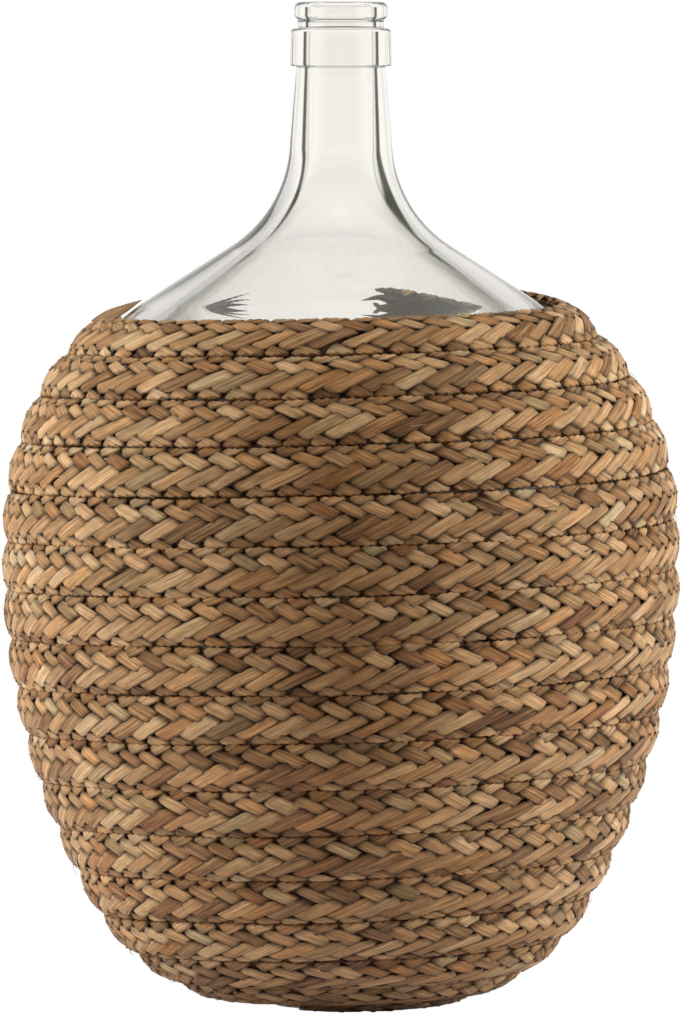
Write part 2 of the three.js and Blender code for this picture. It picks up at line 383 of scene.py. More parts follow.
cover_length = under_run + arc_length - COVER_SHORT_OF_CONE
first_centre = COVER_START + PLAIT_WIDTH / 2
last_centre = cover_length - PLAIT_WIDTH / 2
guide_points = []
guide_out = []
for share in np.linspace(0, 1, int(COVER_TURNS * GUIDE_POINTS_PER_TURN) + 1):
    point, out = on_glass(first_centre + share * (last_centre - first_centre))
    point = point + PLAIT_MIDDLE * out
    turn = COVER_END_ANGLE - (1 - share) * COVER_TURNS * 2 * math.pi
    guide_points.append(round_axis(point, turn))
    guide_out.append(round_axis(out, turn))

guide = bpy.data.meshes.new("winding_guide")
guide.from_pydata(guide_points, [(i, i + 1) for i in range(len(guide_points) - 1)], [])
out_attribute = guide.attributes.new("out", "FLOAT_VECTOR", "POINT")
out_attribute.data.foreach_set("vector", np.array(guide_out).ravel())
steps = np.diff(np.array(guide_points), axis=0)
guide_length = float(np.linalg.norm(steps, axis=1).sum())
print(f"plait: {COVER_TURNS} turns, {guide_length:.2f} m long")

# %% [markdown]
# ## Node helpers
#
# Geometry Nodes and shader nodes are both built in this script, so a few helpers keep the cells short.
# Each one adds a node, feeds its sockets with numbers or with other nodes' outputs, and hands back the
# output.

# %% Helpers that add one node
FLOAT = "NodeSocketFloat"
NOISE_RANGE = (0.25, 0.75)


def feed(tree, socket, value):
    """Links an output to a socket, or sets a plain value on it."""
    if isinstance(value, bpy.types.NodeSocket):
        tree.links.new(value, socket)
    else:
        socket.default_value = value


def add(tree, kind, inputs=None, **settings):
    """Adds a node, sets its properties, and feeds its inputs by name or number."""
    node = tree.nodes.new(kind)
    for name, value in settings.items():
        setattr(node, name, value)
    for key, value in (inputs or {}).items():
        feed(tree, node.inputs[key], value)
    return node


def calc(tree, operation, *values):
    """One Math node."""
    return add(tree, "ShaderNodeMath", dict(enumerate(values)), operation=operation).outputs[0]


def vector_calc(tree, operation, *values):
    """One Vector Math node that gives a vector."""
    return add(tree, "ShaderNodeVectorMath", dict(enumerate(values)), operation=operation).outputs[0]


def scaled(tree, vector, factor):
    """A vector times a number."""
    node = add(tree, "ShaderNodeVectorMath", {0: vector, "Scale": factor}, operation="SCALE")
    return node.outputs[0]


def dot(tree, one, other):
    """Dot product of two vectors, as a number."""
    node = add(tree, "ShaderNodeVectorMath", {0: one, 1: other}, operation="DOT_PRODUCT")
    return node.outputs["Value"]


def remapped(tree, value, low, high, new_low, new_high):
    """A number carried from one range to another, and held inside the new one."""
    node = add(tree, "ShaderNodeMapRange", {0: value, 1: low, 2: high, 3: new_low, 4: new_high})
    return node.outputs[0]


def wavering(tree, place, scale, low, high):
    """Smooth noise along a length, as a number from low to high."""
    inputs = {"W": place, "Scale": scale, "Detail": 1.0}
    noise = add(tree, "ShaderNodeTexNoise", inputs, noise_dimensions="1D")
    return remapped(tree, noise.outputs[0], *NOISE_RANGE, low, high)


print("noise is stretched from", NOISE_RANGE)

# %% [markdown]
# Three pieces of the vase are swept along curves: the strands, the loose leaves and the glue. Their trees
# have most steps in common, so those steps are helpers too. Captured fields are worth a word. A field is
# worked out afresh wherever it is read, so a value that belongs to the guide has to be captured on its
# points before they move. A tree runs once on its base mesh, and what it makes is turned into a plain
# mesh.

# %% Helpers for swept pieces


def new_tree(name, sockets):
    """An empty Geometry Nodes tree with named inputs, given as (name, socket type)."""
    tree = bpy.data.node_groups.new(name, "GeometryNodeTree")
    tree.interface.new_socket("Geometry", in_out="INPUT", socket_type="NodeSocketGeometry")
    for label, kind in sockets:
        tree.interface.new_socket(label, in_out="INPUT", socket_type=kind)
    tree.interface.new_socket("Geometry", in_out="OUTPUT", socket_type="NodeSocketGeometry")
    return tree


def named(tree, label, kind="FLOAT"):
    """An attribute that the base mesh carries."""
    return add(tree, "GeometryNodeInputNamedAttribute", {"Name": label}, data_type=kind).outputs[0]


def kept_on(tree, geometry, numbers, vectors):
    """Captures fields on a geometry's points: gives the geometry, and the captured fields by name."""
    node = add(tree, "GeometryNodeCaptureAttribute", {"Geometry": geometry}, domain="POINT")
    for kind, fields in (("FLOAT", numbers), ("VECTOR", vectors)):
        for label, field in fields.items():
            node.capture_items.new(kind, label)
            feed(tree, node.inputs[label], field)
    return node.outputs[0], {label: node.outputs[label] for label in (*numbers, *vectors)}


def stored(tree, geometry, label, field, kind="FLOAT", domain="POINT"):
    """Stores a field on the mesh under a name, where materials can read it."""
    inputs = {"Geometry": geometry, "Name": label}
    node = add(tree, "GeometryNodeStoreNamedAttribute", inputs, data_type=kind, domain=domain)
    feed(tree, node.inputs["Value"], field)
    return node.outputs[0]


def moved(tree, geometry, offset):
    """A geometry with each point moved by an offset."""
    return add(tree, "GeometryNodeSetPosition", {"Geometry": geometry, "Offset": offset}).outputs[0]


def squared(tree, face, heading):
    """A direction made square to the way that a curve heads."""
    along = scaled(tree, heading, dot(tree, face, heading))
    return vector_calc(tree, "NORMALIZE", vector_calc(tree, "SUBTRACT", face, along))


def facing(tree, curve, normal):
    """A curve with its face turned to a direction at every point."""
    inputs = {"Curve": curve, "Normal": normal}
    return add(tree, "GeometryNodeSetCurveNormal", inputs, mode="FREE").outputs[0]


def swept(tree, curve, ring, girth):
    """A mesh swept along a curve with closed ends, its section scaled by a girth."""
    inputs = {"Curve": curve, "Profile Curve": ring, "Scale": girth, "Fill Caps": True}
    return add(tree, "GeometryNodeCurveToMesh", inputs).outputs[0]


def smoothed(tree, mesh):
    """A mesh with smooth shading all over."""
    return add(tree, "GeometryNodeSetShadeSmooth", {"Geometry": mesh}).outputs[0]


def finished(tree, geometry, material):
    """Ends a tree: real geometry, with its material on it."""
    solid = add(tree, "GeometryNodeRealizeInstances", {"Geometry": geometry}).outputs[0]
    solid = add(tree, "GeometryNodeSetMaterial", {"Geometry": solid, "Material": material}).outputs[0]
    feed(tree, tree.nodes.new("NodeGroupOutput").inputs[0], solid)
    return tree


def made_by(tree, name, base_mesh, values):
    """Runs a tree on a base mesh with its inputs set by name, and gives a plain mesh object."""
    source = bpy.data.objects.new(name + "_source", base_mesh)
    scene.collection.objects.link(source)
    modifier = source.modifiers.new(name, "NODES")
    modifier.node_group = tree
    for item in tree.interface.items_tree:
        if item.in_out == "INPUT" and item.name in values:
            modifier[item.identifier] = values[item.name]
    evaluated = source.evaluated_get(bpy.context.evaluated_depsgraph_get())
    mesh = bpy.data.meshes.new_from_object(evaluated)
    source.modifiers.remove(modifier)
    bpy.data.objects.remove(source)
    mesh.name = name
    piece = bpy.data.objects.new(name, mesh)
    scene.collection.objects.link(piece)
    return piece


print("helpers ready")

# %% [markdown]
# ## Fibres of a dried leaf
#
# Seagrass strands are twists of flat dried leaves. Up close they show long fine veins, wider streaks
# where two leaves meet, and blotches where the leaf dried unevenly. The plaited strands and the loose
# leaf tips both need this, so it is one shader node group. It reads the distance along the leaf and the
# place across it, which each piece stores as attributes, so that the fibres follow every bend.

# %% Leaf fibre group
# Each pattern: marks per metre along the leaf, marks across half its width, and fineness
FIBRE_PATTERNS = {"Streaks": (45, 2.6, 2.0), "Veins": (60, 9.0, 3.0), "Blotches": (160, 1.2, 4.0)}
FIBRE_ROUGHNESS = 0.6
LEAVES_APART = 7.31


def leaf_fibre_group():
    """Shader group that turns a place on a leaf into streaks, veins and blotches."""
    group = bpy.data.node_groups.new("leaf_fibres", "ShaderNodeTree")
    for label in ("Along", "Across", "Leaf"):
        group.interface.new_socket(label, in_out="INPUT", socket_type=FLOAT)
    for label in FIBRE_PATTERNS:
        group.interface.new_socket(label, in_out="OUTPUT", socket_type=FLOAT)
    start = group.nodes.new("NodeGroupInput").outputs
    end = group.nodes.new("NodeGroupOutput").inputs
    apart = calc(group, "MULTIPLY", start["Leaf"], LEAVES_APART)
    for label, (along_scale, across_scale, detail) in FIBRE_PATTERNS.items():
        along = calc(group, "MULTIPLY", start["Along"], along_scale)
        across = calc(group, "MULTIPLY", start["Across"], across_scale)
        place = add(group, "ShaderNodeCombineXYZ", {0: along, 1: across, 2: apart}).outputs[0]
        inputs = {"Vector": place, "Scale": 1.0, "Detail": detail, "Roughness": FIBRE_ROUGHNESS}
        feed(group, end[label], add(group, "ShaderNodeTexNoise", inputs).outputs[0])
    return group


leaf_fibres = leaf_fibre_group()
print("leaf fibre patterns:", list(FIBRE_PATTERNS))

# %% [markdown]
# ## Seagrass finish
#
# The dried leaves run from dark brown through tan and straw to a pale grey-green, and neighbours in the
# plait seldom match. A colour ramp holds those tints, and each visible stretch of a strand picks its
# place on the ramp. A second ramp tips the colour towards green or red.

# %% Tints of the leaves
LEAF_TINTS = [
    (0.00, (0.080, 0.031, 0.011)),
    (0.16, (0.190, 0.079, 0.025)),
    (0.38, (0.330, 0.155, 0.053)),
    (0.62, (0.470, 0.240, 0.089)),
    (0.82, (0.580, 0.326, 0.136)),
    (1.00, (0.640, 0.394, 0.182)),
]
# Some leaves dried greyish green, some foxy red: factors on the tint
LEAF_HUES = [
    (0.00, (0.80, 0.92, 0.98)),
    (0.15, (0.97, 1.00, 1.03)),
    (0.75, (1.00, 0.98, 0.96)),
    (1.00, (1.00, 0.87, 0.74)),
]


def new_material(name):
    """A material, its node tree and its Principled shader."""
    material = bpy.data.materials.new(name)
    material.use_nodes = True
    tree = material.node_tree
    return material, tree, tree.nodes["Principled BSDF"]


def ramp(tree, value, stops):
    """Colour ramp with stops given as (place, colour)."""
    node = add(tree, "ShaderNodeValToRGB", {0: value})
    elements = node.color_ramp.elements
    while len(elements) < len(stops):
        elements.new(0.5)
    for element, (place, colour) in zip(elements, stops):
        element.position = place
        element.color = (*colour, 1)
    return node.outputs[0]


def attribute(tree, name):
    """A number that the piece stores for its material."""
    return add(tree, "ShaderNodeAttribute", attribute_name=name).outputs["Fac"]


def blended(tree, share, one, other, way="MIX"):
    """Two colours put together by a share."""
    inputs = {0: share, 6: one, 7: other}
    return add(tree, "ShaderNodeMix", inputs, data_type="RGBA", blend_type=way).outputs[2]


def multiplied(tree, colour, factor):
    """A colour darkened or lightened by a number."""
    grey = add(tree, "ShaderNodeCombineColor", {0: factor, 1: factor, 2: factor}).outputs[0]
    return blended(tree, 1.0, colour, grey, "MULTIPLY")


print("leaf tints:", len(LEAF_TINTS), "and hues:", len(LEAF_HUES))

# %% [markdown]
# Streaks shift the place on the ramp a little. Veins darken the colour in thin lines and raise the bump.
# Leaves are painted darker where they dip under others and along their rims: painted shade, in place of the
# shadow that falls in the dips and in the thin gaps between blades.
# The leaf is matt, with a weak waxy shine on its smooth parts.

# %% Seagrass material
# Each range: low and high of the pattern, then what they turn into
STREAK_SHIFT = (0.3, 0.7, -0.2, 0.2)
VEIN_SHADE = (0.3, 0.62, 0.5, 1.18)
BLOTCH_SHADE = (0.35, 0.6, 0.82, 1.04)
# The next two ranges are painted shade: leaves darker where they dip under others and towards their rims
PAINTED_SHADE_IN_DIPS = (0.0, 0.75, 0.32, 1.1)
PAINTED_SHADE_AT_RIMS = (0.0, 1.0, 1.0, 0.2)
VEIN_ROUGHNESS = (0.3, 0.7, 0.72, 0.5)
RIM_POWER = 5.0
LEAF_SHINE = 0.35
BUMP_STRENGTH = 0.9
BUMP_DEPTH = 0.5 * MM


def leaf_colour(tree, fibres, across):
    """Colour of a leaf: its tint and hue, shaded by its fibres, with painted shade where it dips and at its
    rims.
    """
    shift = remapped(tree, fibres["Streaks"], *STREAK_SHIFT)
    colour = ramp(tree, calc(tree, "ADD", attribute(tree, "leaf_tint"), shift), LEAF_TINTS)
    hue = ramp(tree, attribute(tree, "leaf_hue"), LEAF_HUES)
    colour = blended(tree, 1.0, colour, hue, "MULTIPLY")
    # Mask for the painted shade along a leaf's rims, where the gaps between blades would fall dark
    rim_shade_mask = calc(tree, "POWER", calc(tree, "ABSOLUTE", across), RIM_POWER)
    for field, shade in (
        (fibres["Veins"], VEIN_SHADE),
        (fibres["Blotches"], BLOTCH_SHADE),
        # painted shade: darker where the leaf dips under the strands that cross it
        (attribute(tree, "leaf_top"), PAINTED_SHADE_IN_DIPS),
        (rim_shade_mask, PAINTED_SHADE_AT_RIMS),
    ):
        colour = multiplied(tree, colour, remapped(tree, field, *shade))
    return colour


def seagrass_material():
    """Matt leaf with fibres that follow its bends."""
    material, tree, shader = new_material("plaited_seagrass")
    across = attribute(tree, "leaf_across")
    group = add(tree, "ShaderNodeGroup", node_tree=leaf_fibres)
    feed(tree, group.inputs["Along"], attribute(tree, "leaf_along"))
    feed(tree, group.inputs["Across"], across)
    feed(tree, group.inputs["Leaf"], attribute(tree, "leaf_number"))
    veins = group.outputs["Veins"]
    feed(tree, shader.inputs["Base Color"], leaf_colour(tree, group.outputs, across))
    feed(tree, shader.inputs["Roughness"], remapped(tree, veins, *VEIN_ROUGHNESS))
    shader.inputs["Specular IOR Level"].default_value = LEAF_SHINE
    inputs = {"Height": veins, "Strength": BUMP_STRENGTH, "Distance": BUMP_DEPTH}
    feed(tree, shader.inputs["Normal"], add(tree, "ShaderNodeBump", inputs).outputs[0])
    return material


seagrass = seagrass_material()
print("seagrass nodes:", len(seagrass.node_tree.nodes))

# %% [markdown]
# ## Flat plait of eight strands
#
# Each strand swings from edge to edge and folds over at both. Going up it passes under one, over three,
# under two and over one of the others; going down, under one, over two, under three and over one. That
# gives the four slanted rows that the photograph shows on every turn, the third a little taller than the
# second. All eight strands follow the same rule, each an eighth of a swing behind the last, so one
# Geometry Nodes tree makes them all with a different number. Modelling the crossings by hand would take
# thousands of pieces.
#
# The rule in the tree: the sideways place is a triangle wave with softened corners, and the height is a
# sum of five sines whose sign is the rule above. The leaves are thin and flat, and each cross-section is
# slid along until it lies parallel to the strands that cross it, so every blade that shows is a slanted
# four-sided shape with sharp corners, as in the photograph. What reaches past an edge of the plait is
# mirrored back into the other layer, which is just what a folded leaf does.

# %% Sizes of the plait
STRANDS = 8
SWING = 99 * MM
SWING_SIDE = 10.9 * MM
LAYER_HEIGHT = 0.85 * MM
PLAIT_BULGE = 2.8 * MM
STRAND_WIDTH = 5.8 * MM
STRAND_THICKNESS = 1.5 * MM
STEPS_PER_SWING = 92.0
SOFT_CORNER = 0.99

strand_slope = math.atan(2 * math.pi * SWING_SIDE / SWING * SOFT_CORNER / math.asin(SOFT_CORNER))
STRAND_SLANT = -1 / (math.tan(2 * strand_slope) * math.cos(strand_slope))
print(f"strands slope at {math.degrees(strand_slope):.0f} degrees, {SWING / STRANDS / MM:.1f} mm apart")

# %% [markdown]
# ### Swing
#
# The guide is cut into even steps. At each step the tree knows the distance along the guide, the
# direction out of the glass, and the direction up the vase. The phase is the distance counted in swings,
# plus the strand's own share. Nobody plaits quite evenly, so slow noise shifts the phase: a part is
# common to all strands, and a part is each strand's own.

# %% Steps and phase of a strand
# Unevenness: waves per metre, and how far they stray either way
SHARED_DRIFT = (9.0, 0.02)
OWN_DRIFT = (18.0, 0.016)
STRANDS_APART = 31.7


def straying(tree, place, unevenness):
    """Noise that strays either way from nought."""
    scale, reach = unevenness
    return wavering(tree, place, scale, -reach, reach)


def strand_steps(tree, value):
    """The guide in even steps, and the fields that belong to its points."""
    spacing = calc(tree, "DIVIDE", value["Swing"], value["Steps per swing"])
    chain = add(tree, "GeometryNodeMeshToCurve", {"Mesh": value["Geometry"]}).outputs[0]
    inputs = {"Curve": chain, "Length": spacing}
    line = add(tree, "GeometryNodeResampleCurve", inputs, mode="LENGTH").outputs[0]
    along = add(tree, "GeometryNodeSplineParameter").outputs
    tangent = add(tree, "GeometryNodeInputTangent").outputs[0]
    out = vector_calc(tree, "NORMALIZE", named(tree, "out", "FLOAT_VECTOR"))
    up = vector_calc(tree, "NORMALIZE", vector_calc(tree, "CROSS_PRODUCT", out, tangent))
    return line, {"along": along["Length"], "share": along["Factor"], "out": out, "up": up}


def strand_phase(tree, value, at):
    """Adds the phase in swings, the turn in radians, and the strand's own place in the noise."""
    swings = calc(tree, "DIVIDE", at["along"], value["Swing"])
    swings = calc(tree, "ADD", swings, calc(tree, "DIVIDE", value["Strand"], value["Strands"]))
    phase = calc(tree, "ADD", swings, straying(tree, at["along"], SHARED_DRIFT))
    own_place = calc(tree, "MULTIPLY", value["Strand"], STRANDS_APART)
    at["waver"] = calc(tree, "ADD", at["along"], own_place)
    at["phase"] = calc(tree, "ADD", phase, straying(tree, at["waver"], OWN_DRIFT))
    at["turn"] = calc(tree, "MULTIPLY", at["phase"], 2 * math.pi)


print(f"a strand strays by up to {(SHARED_DRIFT[1] + OWN_DRIFT[1]) * SWING / MM:.1f} mm along the plait")

# %% [markdown]
# The swing itself is a triangle wave: straight slants, and quick turns at the edges. Both ends of the plait
# are narrower, since the strands are drawn together there. The last 16 cm at the top also ride up the
# shoulder, off the turn below, and only the very tip sags back.

# %% Sideways place of a strand
OWN_SWAY = (30.0, 0.3 * MM)
SHARED_SWAY = (13.0, 0.5 * MM)
# Each range: distances to the plait's end, then what they turn into
END_NARROWING = (0.0, 26 * MM, 0.4, 1.0)
END_LIFT = (75 * MM, 160 * MM, 5 * MM, 0.0)
TIP_SAG = (0.0, 80 * MM, 1.8 * MM, 0.0)


def strand_side(tree, value, at):
    """Adds the sideways place, plain and uneven, and how far it reaches near the plait's ends."""
    wave = calc(tree, "ARCSINE", calc(tree, "MULTIPLY", calc(tree, "COSINE", at["turn"]), SOFT_CORNER))
    wave = calc(tree, "DIVIDE", wave, math.asin(SOFT_CORNER))
    sway = calc(tree, "MULTIPLY", wave, value["Swing side"])
    sway = calc(tree, "ADD", sway, straying(tree, at["waver"], OWN_SWAY))
    sway = calc(tree, "ADD", sway, straying(tree, at["along"], SHARED_SWAY))
    whole = add(tree, "GeometryNodeSplineLength").outputs["Length"]
    left_over = calc(tree, "SUBTRACT", whole, at["along"])
    to_end = calc(tree, "MINIMUM", at["along"], left_over)
    at["ending"] = remapped(tree, to_end, *END_NARROWING)
    at["sway"] = calc(tree, "MULTIPLY", sway, at["ending"])
    at["reach"] = calc(tree, "MULTIPLY", value["Swing side"], at["ending"])
    at["side"] = calc(tree, "MULTIPLY", wave, at["reach"])
    lift = remapped(tree, left_over, *END_LIFT)
    lift = calc(tree, "SUBTRACT", lift, remapped(tree, left_over, *TIP_SAG))
    at["raised"] = calc(tree, "ADD", at["sway"], lift)


print(f"the plait's ends narrow to {END_NARROWING[2]:.0%}, the top end rises {END_LIFT[2] / MM:.0f} mm")

# %% [markdown]
# ### Over and under
#
# The five sines give a curve that is above nought where the strand passes over others and below it where
# the strand passes under. Squeezed hard through a hyperbolic tangent it becomes two flat layers with
# short steps between them. Squeezed softly it tells the material how deep the strand dips. A plait is
# also a little thicker in its middle than at its edges, so a bulge is added, and each face tilts with it.

# %% Height and face of a strand
HEIGHT_WAVES = ((1.0, -0.538), (2.0, 0.682), (3.0, 0.307), (4.0, -1.0), (6.0, -0.2))
SOFT_SQUEEZE = 1.2
HARD_SQUEEZE = 6.5
QUICK_TURN = -9.0
OWN_RISE = (75.0, 0.12 * MM)
OWN_TILT = (48.0, 0.13)


def strand_height(tree, value, at):
    """Adds the layer, the height off the guide, and how clearly the strand lies on top."""
    rule = 0.0
    for multiple, share in HEIGHT_WAVES:
        wave = calc(tree, "SINE", calc(tree, "MULTIPLY", at["turn"], multiple))
        rule = calc(tree, "MULTIPLY_ADD", wave, share, rule)
    at["top"] = calc(tree, "TANH", calc(tree, "MULTIPLY", rule, SOFT_SQUEEZE))
    layer = calc(tree, "TANH", calc(tree, "MULTIPLY", rule, HARD_SQUEEZE))
    at["layer"] = calc(tree, "MULTIPLY", layer, value["Layer height"])
    height = calc(tree, "ADD", at["layer"], straying(tree, at["waver"], OWN_RISE))
    at["off_middle"] = calc(tree, "DIVIDE", at["sway"], value["Swing side"])
    bulge = calc(tree, "SUBTRACT", 0.5, calc(tree, "MULTIPLY", at["off_middle"], at["off_middle"]))
    at["height"] = calc(tree, "MULTIPLY_ADD", bulge, value["Bulge"], height)


def strand_face(tree, value, at):
    """Adds the way the strand goes, 1 up and -1 down, and the direction that its face looks in."""
    at["rising"] = calc(tree, "TANH", calc(tree, "MULTIPLY", calc(tree, "SINE", at["turn"]), QUICK_TURN))
    slope = calc(tree, "DIVIDE", calc(tree, "MULTIPLY", value["Bulge"], 2.0), value["Swing side"])
    tilt = calc(tree, "MULTIPLY_ADD", at["off_middle"], slope, straying(tree, at["waver"], OWN_TILT))
    at["face"] = vector_calc(tree, "ADD", at["out"], scaled(tree, at["up"], tilt))


print("height waves:", len(HEIGHT_WAVES))

# %% [markdown]
# ### Tint
#
# A strand is many short leaves twisted on end to end, so its colour changes along it. Every stretch that
# shows draws its own tint and hue. A part of the tint is slow noise, which keeps neighbouring stretches
# of one strand related.

# %% Tint of a strand
STRETCHES_PER_SWING = 4.0
STRETCH_START = 0.26
NUMBERS_PER_STRAND = 4000.0
OWN_TINT_SHARE = 0.5
SHARED_TINT = (5.0, 0.1, 0.9)
SHARED_TINT_SHARE = 0.36
DARKEST_TINT = 0.08
HUE_SEED = 50.0


def drawn(tree, number, seed, low=0.0, high=1.0):
    """A random number from low to high that belongs to a whole number."""
    inputs = {2: low, 3: high, "ID": number, "Seed": seed}
    return add(tree, "FunctionNodeRandomValue", inputs, data_type="FLOAT").outputs[1]


def strand_tint(tree, value, at):
    """Adds the tint and the hue of the stretch that shows."""
    stretch = calc(tree, "MULTIPLY", at["phase"], STRETCHES_PER_SWING)
    stretch = calc(tree, "FLOOR", calc(tree, "SUBTRACT", stretch, STRETCH_START))
    stretch = calc(tree, "MULTIPLY_ADD", value["Strand"], NUMBERS_PER_STRAND, stretch)
    own = calc(tree, "MULTIPLY", drawn(tree, stretch, value["Seed"]), OWN_TINT_SHARE)
    shared = wavering(tree, at["waver"], *SHARED_TINT)
    shared = calc(tree, "MULTIPLY_ADD", shared, SHARED_TINT_SHARE, DARKEST_TINT)
    at["tint"] = calc(tree, "ADD", own, shared)
    at["hue"] = drawn(tree, stretch, calc(tree, "ADD", value["Seed"], HUE_SEED))


print(f"tints run from {DARKEST_TINT} to {DARKEST_TINT + OWN_TINT_SHARE + SHARED_TINT_SHARE:.2f}")

# %% [markdown]
# ### Ribbon
#
# The section of a strand is a flat loaf of eight points, finest on the side that shows. It is swept along
# the strand's path. Its girth wavers, shrinks towards the plait's ends, and is drawn in where the strand
# dips. Each strand is cut off at a slightly different place, so that the plait's end looks frayed.

# %% Path and section of a strand
# Ring of the section: shares of the half width and of the thickness
SECTION = [
    (1, 0.05), (0.75, 0.4), (0.28, 0.5), (-0.28, 0.5),
    (-0.75, 0.4), (-1, 0.05), (-0.7, -0.5), (0.7, -0.5),
]
GIRTH_WAVER = (16.0, 0.82, 1.2)
DIP_GIRTH = (0.0, 0.7, 0.86, 1.06)
FRAYED_END = (0.9972, 0.9986)
KEPT_NUMBERS = ("along", "share", "tint", "hue", "top", "waver", "ending", "rising", "side", "reach", "layer")
KEPT_VECTORS = ("face", "up", "out")


def strand_path(tree, value, line, at):
    """The strand's path with its face, its girth, and what the ribbon has to remember."""
    numbers = {label: at[label] for label in KEPT_NUMBERS}
    line, kept = kept_on(tree, line, numbers, {label: at[label] for label in KEPT_VECTORS})
    upwards = scaled(tree, at["up"], at["raised"])
    path = moved(tree, line, vector_calc(tree, "ADD", upwards, scaled(tree, at["out"], at["height"])))
    heading = add(tree, "GeometryNodeInputTangent").outputs[0]
    path = facing(tree, path, squared(tree, kept["face"], heading))
    place = add(tree, "GeometryNodeInputPosition").outputs[0]
    path, axis = kept_on(tree, path, {}, {"place": place, "heading": heading})
    girth = wavering(tree, kept["waver"], *GIRTH_WAVER)
    girth = calc(tree, "MULTIPLY", girth, calc(tree, "POWER", kept["ending"], 0.5))
    drawn_in = remapped(tree, calc(tree, "ABSOLUTE", kept["top"]), *DIP_GIRTH)
    girth = calc(tree, "MULTIPLY", girth, drawn_in)
    end = drawn(tree, value["Strand"], 0, *FRAYED_END)
    path = add(tree, "GeometryNodeTrimCurve", {"Curve": path, 3: end}, mode="FACTOR").outputs[0]
    return path, girth, {**kept, **axis}


def listed(tree, values):
    """The value at each point's own number in a list."""
    node = add(tree, "GeometryNodeIndexSwitch", data_type="FLOAT")
    while len(node.index_switch_items) < len(values):
        node.index_switch_items.new()
    feed(tree, node.inputs["Index"], add(tree, "GeometryNodeInputIndex").outputs[0])
    for number, value in enumerate(values):
        feed(tree, node.inputs[str(number)], float(value))
    return node.outputs[0]


def strand_ring(tree, value):
    """Ring of the section, with the place across it and round it kept on its points."""
    inputs = {"Resolution": len(SECTION), "Radius": 1.0}
    ring = add(tree, "GeometryNodeCurvePrimitiveCircle", inputs).outputs[0]
    across = listed(tree, [point[0] for point in SECTION])
    thick = listed(tree, [point[1] for point in SECTION])
    flat_x = calc(tree, "MULTIPLY", across, calc(tree, "MULTIPLY", value["Width"], 0.5))
    flat_y = calc(tree, "MULTIPLY", thick, value["Thickness"])
    place = add(tree, "ShaderNodeCombineXYZ", {0: flat_y, 1: flat_x}).outputs[0]
    round_ring = add(tree, "GeometryNodeSplineParameter").outputs["Factor"]
    ring, kept = kept_on(tree, ring, {"across": across, "round": round_ring}, {})
    ring = add(tree, "GeometryNodeSetPosition", {"Geometry": ring, "Position": place}).outputs[0]
    return ring, kept


print("points round a strand:", len(SECTION))

# %% [markdown]
# ### Slant and fold
#
# On a plait, a blade that shows is cut off at both ends by the strands that cross it. So each cross-
# section of the ribbon is slid along the strand until it lies the way those strands go. At the plait's
# edges the ribbon would stick out, so the part past the edge is mirrored back and dropped into the other
# layer. The fold is a crease, so edges that bend sharply are shaded sharp.

# %% Slant, fold and crease
CREASE = 0.42


def slanted_and_folded(tree, value, ribbon, kept):
    """The ribbon with its cross-sections slid along, and folded at the plait's edges."""
    position = add(tree, "GeometryNodeInputPosition").outputs[0]
    off_axis = vector_calc(tree, "SUBTRACT", position, kept["place"])
    aslant = calc(tree, "MULTIPLY", dot(tree, off_axis, kept["up"]), kept["rising"])
    slide = scaled(tree, kept["heading"], calc(tree, "MULTIPLY", aslant, value["Slant"]))
    slid = vector_calc(tree, "ADD", off_axis, slide)
    here = calc(tree, "ADD", kept["side"], dot(tree, slid, kept["up"]))
    past = calc(tree, "MAXIMUM", calc(tree, "SUBTRACT", calc(tree, "ABSOLUTE", here), kept["reach"]), 0.0)
    inwards = calc(tree, "MULTIPLY", calc(tree, "MULTIPLY", past, calc(tree, "SIGN", here)), -2.0)
    over = calc(tree, "MULTIPLY", calc(tree, "GREATER_THAN", past, 0.0), -2.0)
    other_layer = scaled(tree, kept["out"], calc(tree, "MULTIPLY", kept["layer"], over))
    move = vector_calc(tree, "ADD", slide, scaled(tree, kept["up"], inwards))
    return moved(tree, ribbon, vector_calc(tree, "ADD", move, other_layer))


def creased(tree, mesh):
    """Smooth shading, but sharp along the edges that bend most."""
    bend = add(tree, "GeometryNodeInputMeshEdgeAngle").outputs[0]
    sharp = calc(tree, "GREATER_THAN", bend, CREASE)
    inputs = {"Geometry": smoothed(tree, mesh), "Selection": sharp, "Shade Smooth": False}
    return add(tree, "GeometryNodeSetShadeSmooth", inputs, domain="EDGE").outputs[0]


print(f"edges that bend more than {math.degrees(CREASE):.0f} degrees stay sharp")

# %% [markdown]
# ### Map
#
# A strand is twelve metres long, which no square picture holds in one piece. For baking, its map lays the
# ribbon out in rows like lines of text. The rows and the closing point of the ring are told by faces, so
# that no face is stretched across the map.

# %% Map of a strand
BAKE_ROWS = 35.0
# Share of the map's width and of a row's height that the ribbon fills, each with its margin
ROW_FILL = (0.99, 0.005)
ROW_HEIGHT = (0.9, 0.05)
# A corner this far below its face's middle, round the ring, belongs to the face that closes it
CLOSING_GAP = 0.3


def on_faces(tree, field):
    """A field averaged over each face."""
    inputs = {"Value": field}
    return add(tree, "GeometryNodeFieldOnDomain", inputs, domain="FACE", data_type="FLOAT").outputs[0]


